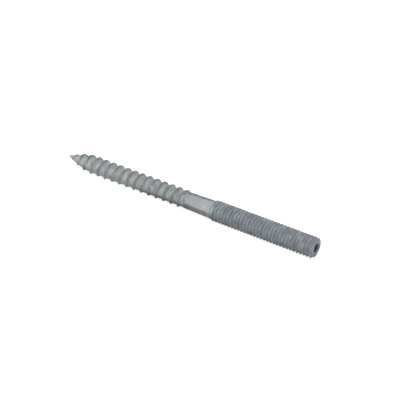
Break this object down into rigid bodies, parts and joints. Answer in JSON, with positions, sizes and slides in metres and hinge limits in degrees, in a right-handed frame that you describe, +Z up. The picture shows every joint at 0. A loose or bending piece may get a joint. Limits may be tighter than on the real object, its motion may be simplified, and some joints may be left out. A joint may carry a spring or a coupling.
{
  "type": "hanger bolt",
  "caption": "Headless hanger bolt: a wood thread with a gimlet point at one end, a machine thread with a drive socket at the other, and a flatted shank between.",
  "frame": {"origin": "centre of the machine end face, on the bolt's own axis", "axes": "the bolt lies on its side, as it rests, with +X along its axis and out of the machine end face, the wood point at -X, and +Z up"},
  "size_m": [0.08, 0.006, 0.006],
  "materials": {
    "galvanised_steel": "dull hot-dip zinc, faintly mottled, smoother on the pressed flats"
  },
  "bodies": {
    "root": {"hanger_bolt": "galvanised_steel"}
  },
  "joints": []
}
